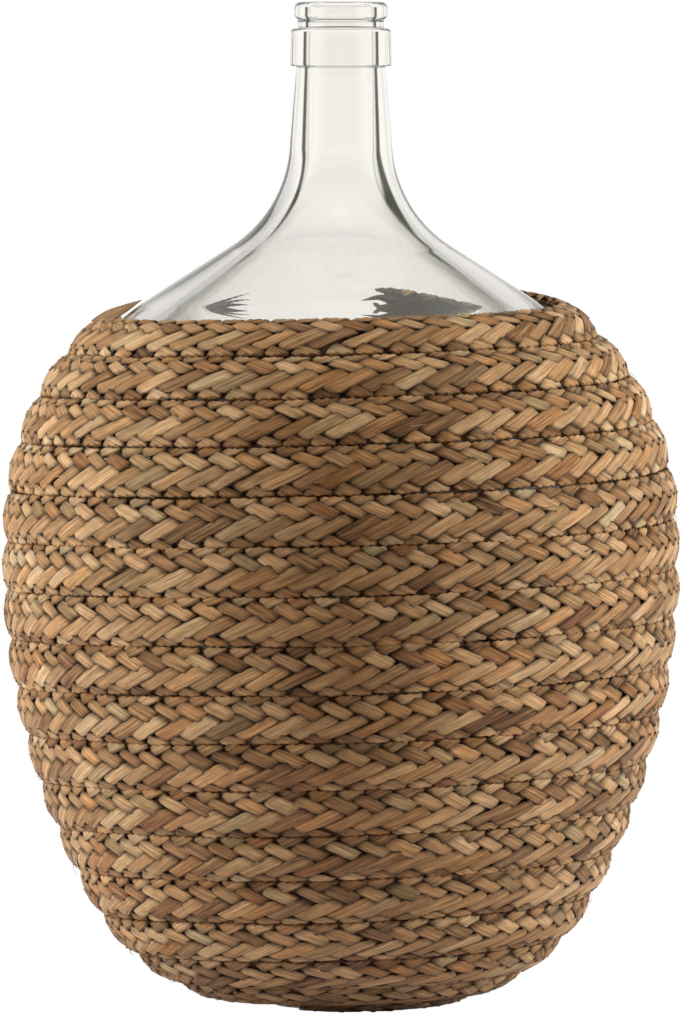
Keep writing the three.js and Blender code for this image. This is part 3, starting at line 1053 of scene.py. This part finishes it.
def bake_map(tree, share, round_ring):
    """Map place of each face corner, the ribbon laid out in rows."""
    rows = calc(tree, "MULTIPLY", share, BAKE_ROWS)
    row = calc(tree, "MINIMUM", calc(tree, "FLOOR", on_faces(tree, rows)), BAKE_ROWS - 1)
    closing = calc(tree, "SUBTRACT", on_faces(tree, round_ring), round_ring)
    closing = calc(tree, "GREATER_THAN", closing, CLOSING_GAP)
    map_x = calc(tree, "MULTIPLY_ADD", calc(tree, "SUBTRACT", rows, row), *ROW_FILL)
    map_y = calc(tree, "MULTIPLY_ADD", calc(tree, "ADD", round_ring, closing), *ROW_HEIGHT)
    map_y = calc(tree, "DIVIDE", calc(tree, "ADD", row, map_y), BAKE_ROWS)
    return add(tree, "ShaderNodeCombineXYZ", {0: map_x, 1: map_y}).outputs[0]


print("map rows:", int(BAKE_ROWS))

# %% [markdown]
# ### Eight strands from one tree
#
# The tree puts the steps above together. It runs once for each strand on the same guide, with the
# strand's number as the only difference.

# %% Plait tree
STRAND_INPUTS = {
    "Strands": STRANDS,
    "Swing": SWING,
    "Swing side": SWING_SIDE,
    "Layer height": LAYER_HEIGHT,
    "Bulge": PLAIT_BULGE,
    "Slant": STRAND_SLANT,
    "Width": STRAND_WIDTH,
    "Thickness": STRAND_THICKNESS,
    "Steps per swing": STEPS_PER_SWING,
    "Seed": 11,
    "Material": seagrass,
}
OTHER_SOCKETS = {"Strands": "NodeSocketInt", "Seed": "NodeSocketInt", "Material": "NodeSocketMaterial"}


def plait_tree():
    """Tree that makes one strand of the plait along the guide."""
    sockets = [(label, OTHER_SOCKETS.get(label, FLOAT)) for label in STRAND_INPUTS]
    tree = new_tree("plait_strand", [("Strand", "NodeSocketInt"), *sockets])
    value = tree.nodes.new("NodeGroupInput").outputs
    line, at = strand_steps(tree, value)
    for step in (strand_phase, strand_side, strand_height, strand_face, strand_tint):
        step(tree, value, at)
    path, girth, kept = strand_path(tree, value, line, at)
    ring, ring_kept = strand_ring(tree, value)
    ribbon = slanted_and_folded(tree, value, swept(tree, path, ring, girth), kept)
    ribbon = creased(tree, ribbon)
    # leaf_top tells how far each point lies on top; the material turns it into painted shade in the dips
    for label in ("along", "tint", "hue", "top"):
        ribbon = stored(tree, ribbon, "leaf_" + label, kept[label])
    ribbon = stored(tree, ribbon, "leaf_across", ring_kept["across"])
    ribbon = stored(tree, ribbon, "leaf_number", calc(tree, "MULTIPLY", value["Strand"], 1.0))
    flat_map = bake_map(tree, kept["share"], ring_kept["round"])
    ribbon = stored(tree, ribbon, "OFBake", flat_map, "FLOAT2", "CORNER")
    return finished(tree, ribbon, value["Material"])


plait = plait_tree()
print("plait tree:", len(plait.nodes), "nodes")

# %% Eight strands
strands = []
for number in range(STRANDS):
    strand = made_by(plait, f"plait_strand_{number + 1}", guide, {"Strand": number, **STRAND_INPUTS})
    strands.append(strand)
print("faces in a strand:", len(strands[0].data.polygons))
print("maps of a strand:", [layer.name for layer in strands[0].data.uv_layers])

# %% [markdown]
# ## Loose leaves
#
# The plait's end at the back is not bound off. Leaf tips stick out of it, a dark tuft stands up behind
# the glass on the left, and single tips show at both sides of the shoulder. Fine fibres also stray over
# the seams. Each one is drawn as a few points: how far up the cover, at which angle, and how far off the
# glass. The thick glass shows what is behind it mirrored and squeezed, so the tuft's points follow what
# the glass shows of them.

# %% Places of the loose leaves
# Each leaf: width, tint, and points as (distance up the cover, degrees, distance off the glass), in mm
LOOSE_LEAVES = [
    (4.6, 0.10, [(344, 140, 4.5), (354, 139, 4.5), (361, 136, 4.5), (364, 130, 5), (367, 121, 5.5)]),
    (5.4, 0.05, [(344, 139, 4.5), (353, 138.5, 4.5), (360.5, 134, 4.5), (360.5, 127, 4.5), (359, 119, 4.5)]),
    (4.4, 0.14, [(344, 136, 4), (354, 135.5, 4), (361, 131, 4.5), (362.5, 125, 5), (362, 119, 5)]),
    (1.2, 0.02, [(344, 146, 4.5), (354, 145, 4), (360, 143, 4), (363, 139, 4), (367, 134, 5)]),
    (5.5, 0.70, [(344, 188, 6), (351, 185, 4.5), (358, 182, 2.5), (366, 179, 1.2)]),
    (5.0, 0.45, [(344, 9, 6.5), (351, 6, 6), (358, 3, 4.5), (363, 1, 3)]),
    (4.4, 0.25, [(342, 20, 6.5), (349, 17, 7), (356, 14, 6.5)]),
    (4.8, 0.22, [(359, 70, 5), (359, 77, 5), (358, 81, 4.5), (357, 84, 4)]),
    (4.2, 0.30, [(352, 70, 4), (352, 75, 4.2), (351, 80, 4)]),
    (3.8, 0.16, [(363, 68, 5.5), (364, 73, 5.5), (363, 78, 5)]),
]
STRAY_FIBRES = 110
chance = np.random.default_rng(5)


def stray_fibre():
    """Width, tint and points of one fine fibre that lies on the plait, drawn like the leaves above."""
    distance = chance.uniform(20, 352)
    angle = chance.uniform(0, 360)
    reach = chance.uniform(4, 11)
    climb = chance.uniform(-7, 7)
    lift = chance.uniform(7.2, 8.2)
    bow = chance.uniform(-1.5, 1.5)
    points = [(distance, angle, lift - 1), (distance + climb / 2 + bow, angle + reach / 2, lift)]
    points.append((distance + climb, angle + reach, lift - 0.6))
    return chance.uniform(0.3, 0.6), chance.uniform(0.1, 0.95), points


leaves = LOOSE_LEAVES + [stray_fibre() for number in range(STRAY_FIBRES)]
print("loose leaves:", len(LOOSE_LEAVES), "and stray fibres:", STRAY_FIBRES)

# %% [markdown]
# The points become a base mesh of chains, with the width, the tint and the direction of the face stored
# on each point. A leaf lies flat on the vase, so its face looks away from the glass. At the outline of
# the vase that would show only the thin edge, while the real tips are twisted and show their breadth. So
# the wide leaves there face the viewer.

# %% Base mesh of the loose leaves
WIDE_LEAF = 2
OUTLINE_COSINE = 0.9
TO_VIEWER = (0, -1, 0)

leaf_points = []
leaf_out = []
leaf_edges = []
leaf_widths = []
leaf_tints = []
for width, tint, places in leaves:
    for count, (distance, degrees, lift) in enumerate(places):
        flat, out = on_glass(distance * MM)
        angle = math.radians(degrees)
        at_outline = abs(math.cos(angle)) > OUTLINE_COSINE
        if count:
            leaf_edges.append((len(leaf_points) - 1, len(leaf_points)))
        leaf_points.append(round_axis(flat + lift * MM * out, angle))
        leaf_out.append(TO_VIEWER if at_outline and width > WIDE_LEAF else round_axis(out, angle))
        leaf_widths.append(width * MM)
        leaf_tints.append(tint)

leaf_guide = bpy.data.meshes.new("leaf_guide")
leaf_guide.from_pydata(leaf_points, leaf_edges, [])
for label, kind, field, values in (
    ("out", "FLOAT_VECTOR", "vector", leaf_out),
    ("width", "FLOAT", "value", leaf_widths),
    ("tint", "FLOAT", "value", leaf_tints),
):
    leaf_guide.attributes.new(label, kind, "POINT").data.foreach_set(field, np.array(values, float).ravel())
print("points of the leaves:", len(leaf_points))

# %% [markdown]
# One Geometry Nodes tree smooths the points into curves and gives every curve a flat section that narrows
# to a tip. The leaves store the same attributes as the strands, so the same material fits them.

# %% Loose leaf tree
RING_POINTS = 8
TIP_POWER = 2.5
TIP_WIDTH = 0.06
LOOSE_HUE = 0.5
# Loose leaves count as lying on top, so the painted shade of the dips doesn't darken them
LOOSE_TOP = 0.8
TINTS_TO_NUMBERS = 50.0


def flat_ring(tree, thick, wide):
    """Flattened ring of points, and the place across it kept on them."""
    inputs = {"Resolution": RING_POINTS, "Radius": 0.5}
    ring = add(tree, "GeometryNodeCurvePrimitiveCircle", inputs).outputs[0]
    place = add(tree, "GeometryNodeInputPosition").outputs[0]
    across = add(tree, "ShaderNodeSeparateXYZ", {0: place}).outputs[1]
    ring, kept = kept_on(tree, ring, {"across": calc(tree, "MULTIPLY", across, 2.0)}, {})
    squash = add(tree, "ShaderNodeCombineXYZ", {0: thick, 1: wide, 2: 1.0}).outputs[0]
    ring = add(tree, "GeometryNodeTransform", {"Geometry": ring, "Scale": squash}).outputs[0]
    return ring, kept["across"]


def leaf_tree():
    """Tree that sweeps a flat leaf along each chain of points."""
    sockets = [("Points", "NodeSocketInt"), ("Flatness", FLOAT), ("Material", "NodeSocketMaterial")]
    tree = new_tree("loose_leaf", sockets)
    value = tree.nodes.new("NodeGroupInput").outputs
    chain = add(tree, "GeometryNodeMeshToCurve", {"Mesh": value["Geometry"]}).outputs[0]
    chain = add(tree, "GeometryNodeCurveSplineType", {"Curve": chain}, spline_type="CATMULL_ROM").outputs[0]
    inputs = {"Curve": chain, "Count": value["Points"]}
    line = add(tree, "GeometryNodeResampleCurve", inputs, mode="COUNT").outputs[0]
    along = add(tree, "GeometryNodeSplineParameter").outputs
    line, kept = kept_on(tree, line, {"length": along["Length"], "tint": named(tree, "tint")}, {})
    heading = add(tree, "GeometryNodeInputTangent").outputs[0]
    line = facing(tree, line, squared(tree, named(tree, "out", "FLOAT_VECTOR"), heading))
    narrowing = calc(tree, "SUBTRACT", 1.0, calc(tree, "POWER", along["Factor"], TIP_POWER))
    girth = calc(tree, "MULTIPLY", named(tree, "width"), calc(tree, "MAXIMUM", narrowing, TIP_WIDTH))
    ring, across = flat_ring(tree, value["Flatness"], 1.0)
    leaf = smoothed(tree, swept(tree, line, ring, girth))
    for label, field in (
        ("leaf_along", kept["length"]),
        ("leaf_across", across),
        ("leaf_tint", kept["tint"]),
        ("leaf_hue", LOOSE_HUE),
        ("leaf_top", LOOSE_TOP),
        ("leaf_number", calc(tree, "MULTIPLY", kept["tint"], TINTS_TO_NUMBERS)),
    ):
        leaf = stored(tree, leaf, label, field)
    return finished(tree, leaf, value["Material"])


leaf_inputs = {"Points": 14, "Flatness": 0.3, "Material": seagrass}
loose = made_by(leaf_tree(), "loose_leaves", leaf_guide, leaf_inputs)
print("loose leaf faces:", len(loose.data.polygons))

# %% [markdown]
# ## Clear glass
#
# The glass is colourless with a trace of grey-green, smooth and glossy. Its uneven look comes from the
# ripples in the mesh, so the material itself stays plain. Lamps have to shine through it, or the plait
# behind it would sit in a solid shadow: for shadow rays alone the material turns transparent.

# %% Glass material
GLASS_TONE = (0.985, 0.985, 0.972, 1)
GLASS_IOR = 1.5


def glass_material():
    """Clear glass that lamps shine through."""
    material, tree, shader = new_material("blown_glass")
    shader.inputs["Base Color"].default_value = GLASS_TONE
    shader.inputs["Roughness"].default_value = 0.0
    shader.inputs["IOR"].default_value = GLASS_IOR
    shader.inputs["Transmission Weight"].default_value = 1.0
    shadow = add(tree, "ShaderNodeLightPath").outputs["Is Shadow Ray"]
    clear = add(tree, "ShaderNodeBsdfTransparent").outputs[0]
    mix = add(tree, "ShaderNodeMixShader", {0: shadow, 1: shader.outputs[0], 2: clear})
    feed(tree, tree.nodes["Material Output"].inputs["Surface"], mix.outputs[0])
    return material


bottle.data.materials.append(glass_material())
print("glass on", bottle.name)

# %% [markdown]
# ## Hot glue
#
# A bead of hot-melt glue runs under the middle of the plait nearly all the way up. It is milky and a
# little glossy. It hardly shows, except through the glass from inside and as a pale glint in the seams.
# It is laid by hand, so it wavers, and it thins out to almost nothing before the plait's top end.

# %% Glue material
GLUE_TONES = [(0.3, (0.60, 0.56, 0.46)), (0.7, (0.80, 0.77, 0.68))]
GLUE_ROUGHNESS = (0.3, 0.7, 0.25, 0.5)
GLUE_CLOUDS = 180.0


def glue_material():
    """Milky glue, cloudy and unevenly glossy."""
    material, tree, shader = new_material("milky_glue")
    place = add(tree, "ShaderNodeTexCoord").outputs["Object"]
    inputs = {"Vector": place, "Scale": GLUE_CLOUDS, "Detail": 3.0}
    cloud = add(tree, "ShaderNodeTexNoise", inputs).outputs[0]
    feed(tree, shader.inputs["Base Color"], ramp(tree, cloud, GLUE_TONES))
    feed(tree, shader.inputs["Roughness"], remapped(tree, cloud, *GLUE_ROUGHNESS))
    return material


milky_glue = glue_material()
print("glue tones:", len(GLUE_TONES))

# %% Glue bead
GLUE_WIDTH = 9 * MM
GLUE_THICKNESS = 0.9 * MM
GLUE_MIDDLE = 0.8 * MM
GLUE_WAVER = (30.0, 0.75, 1.15)
# Distances to the plait's top end, then what they turn into
GLUE_THINNING = (260 * MM, 380 * MM, 0.03, 1.0)


def glue_tree():
    """Tree that lays a bead of glue along the guide, down on the glass."""
    sockets = [("Width", FLOAT), ("Thickness", FLOAT), ("Drop", FLOAT), ("Material", "NodeSocketMaterial")]
    tree = new_tree("glue_bead", sockets)
    value = tree.nodes.new("NodeGroupInput").outputs
    chain = add(tree, "GeometryNodeMeshToCurve", {"Mesh": value["Geometry"]}).outputs[0]
    out = vector_calc(tree, "NORMALIZE", named(tree, "out", "FLOAT_VECTOR"))
    chain, kept = kept_on(tree, chain, {}, {"out": out})
    path = moved(tree, chain, scaled(tree, out, calc(tree, "MULTIPLY", value["Drop"], -1.0)))
    path = facing(tree, path, kept["out"])
    length = add(tree, "GeometryNodeSplineParameter").outputs["Length"]
    whole = add(tree, "GeometryNodeSplineLength").outputs["Length"]
    thinning = remapped(tree, calc(tree, "SUBTRACT", whole, length), *GLUE_THINNING)
    girth = calc(tree, "MULTIPLY", wavering(tree, length, *GLUE_WAVER), thinning)
    ring, across = flat_ring(tree, value["Thickness"], value["Width"])
    return finished(tree, smoothed(tree, swept(tree, path, ring, girth)), value["Material"])


glue = made_by(
    glue_tree(),
    "glue_under_plait",
    guide,
    {
        "Width": GLUE_WIDTH,
        "Thickness": GLUE_THICKNESS,
        "Drop": PLAIT_MIDDLE - GLUE_MIDDLE,
        "Material": milky_glue,
    },
)
print("glue faces:", len(glue.data.polygons))

# %% [markdown]
# ## Studio floor
#
# The photograph has a white ground with no edge. The floor here is a flat round disc that looks plain
# white to the camera and through the glass. To everything else it is a pale floor that throws a warm
# light up on the vase. Well before the vase it is dark, which keeps the middle of the plait deep brown.

# %% Floor
FLOOR_RADIUS = 2.2
FLOOR_CORNERS = 64
BACK_TONE = (1.0, 0.975, 0.935)
WHITE = (1, 1, 1, 1)
FLOOR_TONES = [(0.0, (0.74, 0.69, 0.63)), (1.0, (0.10, 0.065, 0.04))]
# Where the dark part starts and is full: distances before the vase, and to its side
FLOOR_BEFORE = (0.16, 0.5)
FLOOR_SIDE = (0.25, 0.75)

floor_mesh = bpy.data.meshes.new("pale_floor")
floor_angles = np.linspace(0, 2 * math.pi, FLOOR_CORNERS, endpoint=False)
corners = [(FLOOR_RADIUS * math.cos(a), FLOOR_RADIUS * math.sin(a), 0) for a in floor_angles]
floor_mesh.from_pydata(corners, [], [tuple(range(len(corners)))])
floor = bpy.data.objects.new("pale_floor", floor_mesh)
scene.collection.objects.link(floor)


def floor_paint():
    """Matt paint that glows white to the camera and through the glass."""
    material, tree, shader = new_material("pale_paint")
    place = add(tree, "ShaderNodeTexCoord").outputs["Object"]
    apart = add(tree, "ShaderNodeSeparateXYZ", {0: place}).outputs
    before = remapped(tree, calc(tree, "MULTIPLY", apart[1], -1.0), *FLOOR_BEFORE, 0.0, 1.0)
    middle = remapped(tree, calc(tree, "ABSOLUTE", apart[0]), *FLOOR_SIDE, 1.0, 0.0)
    dark = calc(tree, "MULTIPLY", before, middle)
    feed(tree, shader.inputs["Base Color"], ramp(tree, dark, FLOOR_TONES))
    shader.inputs["Roughness"].default_value = 0.9
    seen = add(tree, "ShaderNodeLightPath").outputs
    tone = blended(tree, seen["Is Camera Ray"], (*BACK_TONE, 1), WHITE)
    glow = add(tree, "ShaderNodeEmission", {"Color": tone, "Strength": 1.0}).outputs[0]
    direct = calc(tree, "MAXIMUM", seen["Is Camera Ray"], seen["Is Transmission Ray"])
    mix = add(tree, "ShaderNodeMixShader", {0: direct, 1: shader.outputs[0], 2: glow})
    feed(tree, tree.nodes["Material Output"].inputs["Surface"], mix.outputs[0])
    return material


floor_mesh.materials.append(floor_paint())
print("floor radius:", FLOOR_RADIUS, "m")

# %% [markdown]
# ## Lights
#
# Two tall soft lights stand left and right of the vase, a little to the front: its sides are bright and
# its middle is darker. Their light is cool, which balances the warm floor. They don't show in the glass,
# where the painted room gives the reflections.

# %% Lights
LAMP_AIM = Vector((0, 0, 0.2))
LAMP_TONE = (0.81, 1.0, 1.38)
LAMP_ASIDE = 1.6
LAMP_BEFORE = 0.2
LAMP_LEVEL = 0.55
LAMP_WIDTH = 0.22
LAMP_HEIGHT = 1.5
LEFT_WATTS = 44
RIGHT_WATTS = 43


def soft_light(name, aside, watts):
    """Tall soft light at one side, aimed at the vase."""
    data = bpy.data.lights.new(name, "AREA")
    data.shape = "RECTANGLE"
    data.size = LAMP_WIDTH
    data.size_y = LAMP_HEIGHT
    data.energy = watts
    data.color = LAMP_TONE
    lamp = bpy.data.objects.new(name, data)
    lamp.location = (aside, -LAMP_BEFORE, LAMP_LEVEL)
    lamp.rotation_euler = (LAMP_AIM - lamp.location).to_track_quat("-Z", "Y").to_euler()
    lamp.visible_glossy = False
    lamp.visible_transmission = False
    scene.collection.objects.link(lamp)


soft_light("left_softbox", -LAMP_ASIDE, LEFT_WATTS)
soft_light("right_softbox", LAMP_ASIDE, RIGHT_WATTS)

# %% [markdown]
# ## Room
#
# The room's walls are painted by direction in the world's shader, so no line shows behind the glass.
# Photographers hang dark cloths before glass to draw its edges. So the room is dark in front and bright
# behind, with a pale panel at each side, a dark gap high up, and a pale ceiling. The camera itself sees
# plain white.

# %% Room
DARK_TONE = (0.05, 0.05, 0.03, 1)
FRONT_TONE = (0.15, 0.09, 0.045, 1)
PANEL_TONE = (0.85, 0.85, 0.78, 1)
GAP_TONE = (0.085, 0.088, 0.048, 1)
CEILING_TONE = (0.75, 0.75, 0.69, 1)
# Each range: readings of a direction, from -1 to 1, between which a tone comes in
FRONT_TURN = (-1.0, 0.1)
PANEL_EDGE = (0.80, 0.86)
BACK_EDGE = (0.70, 0.76)
GAP_EDGE = (0.47, 0.5)
CEILING_EDGE = (0.60, 0.64)
# Readings of the height, then what they turn into
FRONT_RISE = (-0.3, 0.45, 0.5, 1.75)
BACK_FADE = (0.1, 0.45, 1.0, 0.7)


def painted(tree, around, reading, edge, tone):
    """The room with a new tone wherever a reading of the direction is past an edge."""
    return blended(tree, remapped(tree, reading, *edge, 0.0, 1.0), around, tone)


def studio_room():
    """World whose walls are painted by direction."""
    room = bpy.data.worlds.new("studio_room")
    room.use_nodes = True
    tree = room.node_tree
    heading = add(tree, "ShaderNodeTexCoord").outputs["Generated"]
    aside, behind, above = add(tree, "ShaderNodeSeparateXYZ", {0: heading}).outputs
    around = blended(tree, remapped(tree, behind, *FRONT_TURN, 1.0, 0.0), DARK_TONE, FRONT_TONE)
    around = multiplied(tree, around, remapped(tree, above, *FRONT_RISE))
    around = painted(tree, around, calc(tree, "ABSOLUTE", aside), PANEL_EDGE, PANEL_TONE)
    around = painted(tree, around, behind, BACK_EDGE, (*BACK_TONE, 1))
    around = multiplied(tree, around, remapped(tree, above, *BACK_FADE))
    around = painted(tree, around, above, GAP_EDGE, GAP_TONE)
    around = painted(tree, around, above, CEILING_EDGE, CEILING_TONE)
    ground = tree.nodes["Background"]
    feed(tree, ground.inputs["Color"], around)
    white = add(tree, "ShaderNodeBackground", {"Color": WHITE, "Strength": 1.0}).outputs[0]
    seen = add(tree, "ShaderNodeLightPath").outputs["Is Camera Ray"]
    mix = add(tree, "ShaderNodeMixShader", {0: seen, 1: ground.outputs[0], 2: white})
    feed(tree, tree.nodes["World Output"].inputs["Surface"], mix.outputs[0])
    return room


scene.world = studio_room()
scene.view_settings.view_transform = "Standard"
print("room nodes:", len(scene.world.node_tree.nodes))

# %% [markdown]
# ## Tying the pieces to the frame
#
# Each new piece rides on the model's only body, and the imported solid that it replaces is hidden.

# %% Ride and replace
for strand in [*strands, loose]:
    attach(strand, "root")
    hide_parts("seagrass_plait")
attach(bottle, "root")
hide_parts("glass_bottle")
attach(glue, "root")
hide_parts("glue_bead")
print("pieces:", len(strands) + 3)
